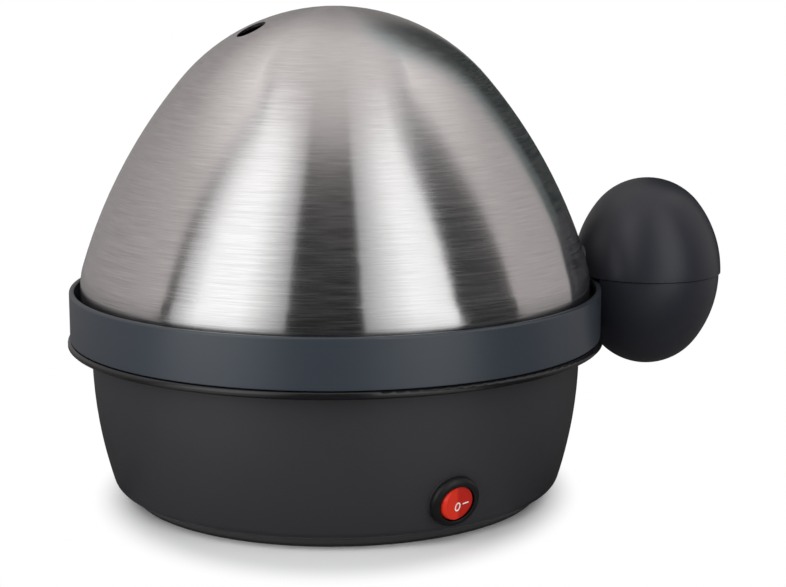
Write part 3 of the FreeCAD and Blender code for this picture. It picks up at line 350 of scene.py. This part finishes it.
card("front_black_flag", -18.8, 13, 0.02, 0.02)
card("right_box_rise", 13, 35, 0.46, 1.42, rows=box_rows)
card("right_box_face", 35, 53.8, 1.42, 1.42, rows=box_rows)
card("right_black_flag", 53.8, 84, 0.04, 0.04, rows=flag_rows)
card("right_grey_card", 84, 129, 0.52, 0.48, warm, wall_rows)
card("back_low_flag", 129, 138, 0.04, 0.04, cool, low_flag_rows)
card("back_black_flag", 138, 168, 0.04, 0.04, cool, flag_rows)
card("back_grey_card", 168, 192, 0.22, 0.28, warm, wall_rows)
card("ceiling", -180, 180, 0.78, 0.78, warm, path=ceiling_path)

# %% [markdown]
# ## Shared effects
#
# Moulded plastic is never perfectly even: the mould's spark finish leaves a grain too fine to see one
# by one, and handling leaves faint patches where the gloss changes. Sheet steel that was turned
# against a belt has thousands of thin rings. Each of these effects is a node group, built once and
# placed in the materials with its own values. The groups put out only values.


# %% Node group: moulded grain
def new_group(name, inputs, outputs):
    """An empty shader node group with float inputs {name: default} and float outputs."""
    group = bpy.data.node_groups.new(name, "ShaderNodeTree")
    for label, value in inputs.items():
        socket = group.interface.new_socket(label, in_out="INPUT", socket_type="NodeSocketFloat")
        socket.default_value = value
    for label in outputs:
        group.interface.new_socket(label, in_out="OUTPUT", socket_type="NodeSocketFloat")
    return group, add(group, "NodeGroupInput").outputs, add(group, "NodeGroupOutput").inputs


def noise(tree, vector, scale, detail=2.0, roughness=0.5):
    """A noise texture on a vector, and its value from 0 to 1."""
    node = add(tree, "ShaderNodeTexNoise")
    join(tree, vector, node.inputs["Vector"])
    join(tree, scale, node.inputs["Scale"])
    join(tree, detail, node.inputs["Detail"])
    join(tree, roughness, node.inputs["Roughness"])
    return node.outputs["Fac"]


moulded_grain, given, result = new_group(
    "moulded_grain", {"Grain Scale": 2500.0, "Patch Scale": 18.0, "Patch Strength": 0.5},
    ["Height", "Patches"])
tree = moulded_grain
place = object_place(tree)
patches = noise(tree, place, given["Patch Scale"], detail=4.0, roughness=0.6)
join(tree, noise(tree, place, given["Grain Scale"], detail=3.0), result["Height"])
join(tree, maths(tree, "MULTIPLY", maths(tree, "SUBTRACT", patches, 0.5), given["Patch Strength"]),
     result["Patches"])

# %% [markdown]
# The brushing runs in level rings round the body's axis. Along the dome's wall the sum "distance from
# the axis minus height" always grows, whether the wall is steep or nearly level, so a noise that is
# fine along that sum and slow round the axis gives rings everywhere, also over the crown.

# %% Node group: turned brushing
turned_brushing, given, result = new_group(
    "turned_brushing", {"Ring Scale": 2200.0, "Streak Length": 6.0}, ["Fine", "Broad"])
tree = turned_brushing
least_reach = 0.004
place = add(tree, "ShaderNodeSeparateXYZ")
join(tree, object_place(tree), place.inputs[0])
squares = [maths(tree, "MULTIPLY", place.outputs[axis], place.outputs[axis]) for axis in ("X", "Y")]
reach = maths(tree, "SQRT", maths(tree, "ADD", *squares))
down_the_wall = maths(tree, "SUBTRACT", reach, place.outputs["Z"])
round_unit = maths(tree, "DIVIDE", given["Streak Length"], maths(tree, "MAXIMUM", reach, least_reach))
for label, share, detail in (("Fine", 1.0, 3.0), ("Broad", 0.12, 5.0)):
    slow = add(tree, "ShaderNodeCombineXYZ")
    for axis in ("X", "Y"):
        join(tree, maths(tree, "MULTIPLY", place.outputs[axis], round_unit), slow.inputs[axis])
    rings = maths(tree, "MULTIPLY", down_the_wall, maths(tree, "MULTIPLY", given["Ring Scale"], share))
    join(tree, rings, slow.inputs["Z"])
    join(tree, noise(tree, slow.outputs[0], 1.0, detail=detail, roughness=0.65), result[label])
print("shared effects:", [group.name for group in bpy.data.node_groups])


# %% Material helpers
def principled(tree):
    """The tree's Principled shader."""
    return next(node for node in tree.nodes if node.type == "BSDF_PRINCIPLED")


def new_material(name, **constants):
    """A Principled material with its constants set on its own sockets. Returns it and its parts."""
    material = bpy.data.materials.new(name)
    material.use_nodes = True
    tree = material.node_tree
    shader = principled(tree)
    for label, value in constants.items():
        shader.inputs[label.replace("_", " ")].default_value = value
    return material, tree, shader


def use_group(tree, group, **values):
    """Places a shared effect in a material with its own values, and gives its outputs."""
    node = add(tree, "ShaderNodeGroup", node_tree=group)
    for label, value in values.items():
        node.inputs[label.replace("_", " ")].default_value = value
    return node.outputs


def bump(tree, shader, height, depth, edge_round=0.0):
    """Feeds the shader's normal from a height map whose full range is depth metres.

    Where edge_round is given, the light takes edges as if they were rounded by that many metres."""
    node = add(tree, "ShaderNodeBump")
    if edge_round:
        rounding = add(tree, "ShaderNodeBevel", samples=8)
        join(tree, edge_round, rounding.inputs["Radius"])
        join(tree, rounding.outputs["Normal"], node.inputs["Normal"])
    join(tree, 1.0, node.inputs["Strength"])
    join(tree, depth, node.inputs["Distance"])
    join(tree, height, node.inputs["Height"])
    join(tree, node.outputs["Normal"], shader.inputs["Normal"])


def moulded_plastic(name, colour, roughness, grain_scale=2500.0, grain_depth=0.00001,
                    patch_strength=0.16, shift=0.12, edge_round=0.0, **constants):
    """Moulded plastic: a fine spark grain, and faint patches that shift its colour and its gloss."""
    material, tree, shader = new_material(name, **constants)
    effect = use_group(tree, moulded_grain, Grain_Scale=grain_scale, Patch_Strength=patch_strength)
    centred = maths(tree, "ADD", effect["Patches"], 0.5)
    darker = tuple(value * (1 - shift) for value in colour)
    lighter = tuple(value * (1 + shift) for value in colour)
    join(tree, ramp(tree, centred, (0.35, darker), (0.65, lighter)), shader.inputs["Base Color"])
    join(tree, maths(tree, "ADD", effect["Patches"], roughness), shader.inputs["Roughness"])
    bump(tree, shader, effect["Height"], grain_depth, edge_round)
    return material


# %% [markdown]
# ## The brushed steel dome
#
# The dome is a thin stainless shell, brushed round its axis. Brushing stretches every mirror image
# across the scratches, so each lamp becomes a tall band from the collar to the crown. In the shader
# that is anisotropy with a tangent that runs round the axis. The rings also change the roughness
# and the tone a little, which draws the fine lines where a bright band ends. Some rings scatter a
# little light every way, which a rough clear coat gives them, so the lines also show in the dark
# bands. The edge that was cut for the steam vent is dull, and it is painted nearly black: painted
# shade for the inside of the hole.

# %% Dome steel
vent_axis, vent_edge, vent_fade = (-0.02724, -0.0073, 0.0), 0.00445, 0.0002
vent_shade_colour, edge_dullness = (0.03, 0.03, 0.03), 0.5
scratch_depth = 0.0000015
dome_steel, tree, shader = new_material("dome_steel", Metallic=1.0, Anisotropic=1.0,
                                        Anisotropic_Rotation=0.25, Coat_Roughness=0.55, Coat_IOR=1.7)
rings = use_group(tree, turned_brushing, Ring_Scale=3300.0, Streak_Length=5.0)["Fine"]
level_place = vector_maths(tree, "MULTIPLY", object_place(tree), (1.0, 1.0, 0.0))
# Painted shade: within the vent's radius the steel is painted nearly black, standing in for the shaded
# inside of the hole.
painted_vent_shade = remap(tree, vector_maths(tree, "DISTANCE", level_place, vent_axis), 1.0, 0.0,
                 vent_edge, vent_edge + vent_fade)
steel = ramp(tree, rings, (0.35, (0.57, 0.563, 0.563)), (0.65, (0.70, 0.693, 0.693)))
scatter = ramp(tree, rings, (0.46, (0.0, 0.0, 0.0)), (0.54, (1.0, 1.0, 1.0)))
join(tree, overlay(tree, painted_vent_shade, steel, vent_shade_colour), shader.inputs["Base Color"])
join(tree, maths(tree, "ADD", remap(tree, rings, 0.15, 0.22),
                 maths(tree, "MULTIPLY", painted_vent_shade, edge_dullness)), shader.inputs["Roughness"])
join(tree, scatter, shader.inputs["Coat Weight"])
bump(tree, shader, rings, scratch_depth)
join(tree, add(tree, "ShaderNodeTangent", direction_type="RADIAL", axis="Z").outputs[0],
     shader.inputs["Tangent"])
print("dome:", dome_steel.name, "with nodes:", len(tree.nodes))

# %% [markdown]
# ## Plastics
#
# Four plastics meet here. The bowl is charcoal with a soft satin sheen. The rim ring is polished and
# nearly black. The tray is a slate blue-grey satin, and the handle is a little bluer than the bowl.
# Only their colour, gloss and grain differ, so one function makes them all.

# %% Plastics
bowl_plastic = moulded_plastic("bowl_plastic", (0.030, 0.0288, 0.032), 0.46, Specular_IOR_Level=0.36)
rim_plastic = moulded_plastic("rim_plastic", (0.008, 0.008, 0.009), 0.20, grain_depth=0.000002,
                              patch_strength=0.05, edge_round=0.0005, IOR=1.55)
tray_plastic = moulded_plastic("tray_plastic", (0.029, 0.037, 0.048), 0.32, edge_round=0.0004,
                               Specular_IOR_Level=0.65)
handle_plastic = moulded_plastic("handle_plastic", (0.017, 0.018, 0.025), 0.40, grain_scale=3200.0,
                                 Specular_IOR_Level=0.5)
switch_black = moulded_plastic("switch_black", (0.007, 0.007, 0.008), 0.42, grain_depth=0.000004,
                               patch_strength=0.05, edge_round=0.0006, Specular_IOR_Level=0.4)
gland_nylon = moulded_plastic("gland_nylon", (0.012, 0.012, 0.013), 0.50)
terminal_plastic = moulded_plastic("terminal_plastic", (0.68, 0.66, 0.60), 0.42)
thermostat_resin = moulded_plastic("thermostat_resin", (0.055, 0.036, 0.022), 0.38)
print("plastics:", bowl_plastic.name, rim_plastic.name, tray_plastic.name, handle_plastic.name)

# %% [markdown]
# ## The red cap
#
# The switch has a frame of its own on the bowl's sloping wall: an origin, and the ways out of the
# wall, to the right along it and up it. The cap is pressed in at the right, so its left half stands
# out to the light. That light is painted in: the left half gets a paler red, painted light over the
# cap's own red. The step between the halves is found along the way to the right.

# %% The switch's frame and its cap
face_origin = np.array([0.0242555, -0.0708437, 0.0143])
face_axes = np.array([(0.3149249, -0.9198206, -0.2339921), (0.9448737, 0.2805547, 0.1688274),
                      (-0.0896433, -0.274261, 0.957468)])
step_start, step_end = -0.157 * MM, 0.843 * MM
painted_lit_red = (0.66, 0.029, 0.012)
switch_red = moulded_plastic("switch_red", (0.46, 0.016, 0.009), 0.20, grain_depth=0.000003,
                             patch_strength=0.05, shift=0.06, Specular_IOR_Level=0.25)
tree = switch_red.node_tree
shader = principled(tree)
cap_middle = float(face_origin @ face_axes[1])
# Painted light: the cap's left half is painted a paler red, standing in for the light it catches.
painted_light_share = remap(tree, vector_maths(tree, "DOT_PRODUCT", object_place(tree), tuple(face_axes[1])),
                  1.0, 0.0, cap_middle + step_start, cap_middle + step_end)
deep_red = shader.inputs["Base Color"].links[0].from_socket
join(tree, overlay(tree, painted_light_share, deep_red, painted_lit_red), shader.inputs["Base Color"])
print("cap:", switch_red.name)

# %% [markdown]
# ## Rubbers, metals and glass inside
#
# The foot ring and the pan's seal are rubber, with a coarser matt grain. The pan is pressed steel
# with a softer brushing than the dome. Brackets and screws are plated, the heater's tube is dull
# from heat, the plate over it is cast aluminium, and the switch has brass tabs and a small lamp.

# %% Rubbers
foot_rubber = moulded_plastic("foot_rubber", (0.014, 0.014, 0.014), 0.72, grain_scale=1400.0,
                              grain_depth=0.00003)
seal_rubber = moulded_plastic("seal_rubber", (0.33, 0.33, 0.32), 0.66, grain_scale=1600.0,
                              grain_depth=0.00002)


# %% Metals
tool_ring_depth, tool_streak_length = 0.000003, 4.0


def worked_metal(name, dark, light, low_roughness, high_roughness, ring_scale):
    """Metal with level tool rings: tone and gloss both follow the shared brushing."""
    material, tree, shader = new_material(name, Metallic=1.0)
    lines = use_group(tree, turned_brushing, Ring_Scale=ring_scale, Streak_Length=tool_streak_length)
    join(tree, ramp(tree, lines["Broad"], (0.3, dark), (0.7, light)), shader.inputs["Base Color"])
    join(tree, remap(tree, lines["Fine"], low_roughness, high_roughness), shader.inputs["Roughness"])
    bump(tree, shader, lines["Fine"], tool_ring_depth)
    return material


pan_steel = worked_metal("pan_steel", (0.55, 0.54, 0.52), (0.70, 0.69, 0.67), 0.22, 0.36, 1500.0)
sheet_steel = worked_metal("sheet_steel", (0.48, 0.50, 0.52), (0.60, 0.61, 0.62), 0.30, 0.45, 900.0)
fastener_steel = worked_metal("fastener_steel", (0.52, 0.52, 0.51), (0.66, 0.66, 0.65),
                              0.22, 0.34, 2500.0)
heater_sheath = worked_metal("heater_sheath", (0.16, 0.14, 0.13), (0.34, 0.31, 0.28),
                             0.45, 0.62, 700.0)
spreader_aluminium = worked_metal("spreader_aluminium", (0.66, 0.66, 0.67), (0.82, 0.82, 0.83),
                                  0.36, 0.52, 600.0)
fuse_metal = worked_metal("fuse_metal", (0.55, 0.47, 0.30), (0.74, 0.66, 0.46), 0.26, 0.40, 1800.0)
switch_brass = worked_metal("switch_brass", (0.70, 0.50, 0.22), (0.86, 0.66, 0.34), 0.24, 0.38, 2000.0)

# %% Lamp glass
lamp_glass, tree, shader = new_material("lamp_glass", Transmission_Weight=0.9, IOR=1.5)
effect = use_group(tree, moulded_grain, Grain_Scale=900.0, Patch_Strength=0.2)
centred = maths(tree, "ADD", effect["Patches"], 0.5)
join(tree, ramp(tree, centred, (0.3, (0.95, 0.46, 0.30)), (0.7, (0.98, 0.60, 0.42))),
     shader.inputs["Base Color"])
join(tree, remap(tree, effect["Height"], 0.04, 0.10), shader.inputs["Roughness"])
print("finishes so far:", len(bpy.data.materials))

# %% Give every node its finish
finish_of_slot = {
    "lid_steel": dome_steel, "bowl_plastic": bowl_plastic, "rim_plastic": rim_plastic,
    "tray_plastic": tray_plastic, "handle_plastic": handle_plastic, "pan_steel": pan_steel,
    "sheet_steel": sheet_steel, "fastener_steel": fastener_steel, "heater_sheath": heater_sheath,
    "spreader_aluminium": spreader_aluminium, "thermostat_resin": thermostat_resin,
    "fuse_metal": fuse_metal, "foot_rubber": foot_rubber, "seal_rubber": seal_rubber,
    "switch_black": switch_black, "switch_red": switch_red, "switch_brass": switch_brass,
    "lamp_glass": lamp_glass, "gland_nylon": gland_nylon, "terminal_plastic": terminal_plastic}
slot_of_node = {entry["node"]: entry["material_slot"] for entry in frame["record"]["subparts"]}
for name, node in nodes.items():
    node.data.materials.clear()
    node.data.materials.append(finish_of_slot[slot_of_node[name]])
print("nodes with a finish:", len(nodes))

# %% [markdown]
# ## The marks on the switch
#
# A "0" and a dash are printed in white on the rocker's dished face. Each is a thin skin of ink laid on
# that face: a point is given by how far right and how far up the face it is, and the dish's own
# curve says how far out it lies. The face is a hollow cylinder, tipped about the rocker's pins.

# %% Marks
dish_radius, dish_front, pin_depth = 22.0 * MM, 2.4 * MM, 0.2 * MM
rocker_tip = math.radians(10.0)
ink_thickness = 0.05 * MM
nought_lean = math.radians(19)
outline_points, closed_share = 72, 0.02


def on_the_rocker(right, up, proud):
    """Points of the rocker's face: out = front + radius - sqrt(radius squared - right squared) + proud.

    They are then tipped about the pins, which stand upright just behind the face's frame."""
    out = dish_front + dish_radius - np.sqrt(dish_radius ** 2 - right ** 2) + proud + pin_depth
    tipped_out = out * math.cos(rocker_tip) - right * math.sin(rocker_tip) - pin_depth
    tipped_right = out * math.sin(rocker_tip) + right * math.cos(rocker_tip)
    return face_origin + np.stack([tipped_out, tipped_right, up], -1) @ face_axes


def ink_mark(name, centre, size, stroke, lean, corner_power=2.0, filled=False):
    """A closed ring of ink: a round outline of half size, leaning to the right, with a stroke.

    Its section has four corners, outer and inner, under the face and proud of it. The outline is
    sign(c) * abs(c) ** (2 / corner_power) * size for the cosine and the sine c of its turn. A filled
    mark's inner corners lie close to its middle, so the ring closes to a bar."""
    turn = np.linspace(0, 2 * np.pi, outline_points, endpoint=False)
    unit = np.stack([np.cos(turn), np.sin(turn)], -1)
    outer = np.sign(unit) * np.abs(unit) ** (2 / corner_power) * size
    inner = outer * (closed_share if filled else (size - stroke) / size)
    rings = np.stack([outer, outer, inner, inner], 0)
    proud = np.array([-1.0, 1.0, 1.0, -1.0])[:, None] * ink_thickness
    right = centre[0] + rings[..., 0] * math.cos(lean) + rings[..., 1] * math.sin(lean)
    up = centre[1] - rings[..., 0] * math.sin(lean) + rings[..., 1] * math.cos(lean)
    points = on_the_rocker(right, up, np.broadcast_to(proud, right.shape))
    piece = grid_piece(name, points, wrap_rows=True, wrap_columns=True, smooth=False)
    piece.data.materials.append(mark_ink)
    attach(piece, "rocker")
    return piece


mark_ink = moulded_plastic("mark_ink", (0.80, 0.80, 0.78), 0.45, grain_depth=0.000002,
                           patch_strength=0.05)
nought = ink_mark("nought_mark", np.array([-0.28, -1.15]) * MM, np.array([1.02, 1.40]) * MM,
                  0.40 * MM, nought_lean, corner_power=2.3)
dash = ink_mark("dash_mark", np.array([2.65, -0.9]) * MM, np.array([1.02, 0.20]) * MM, 0.0, 0.0,
                corner_power=8.0, filled=True)
print("marks:", nought.name, dash.name, "faces:", len(nought.data.polygons), len(dash.data.polygons))
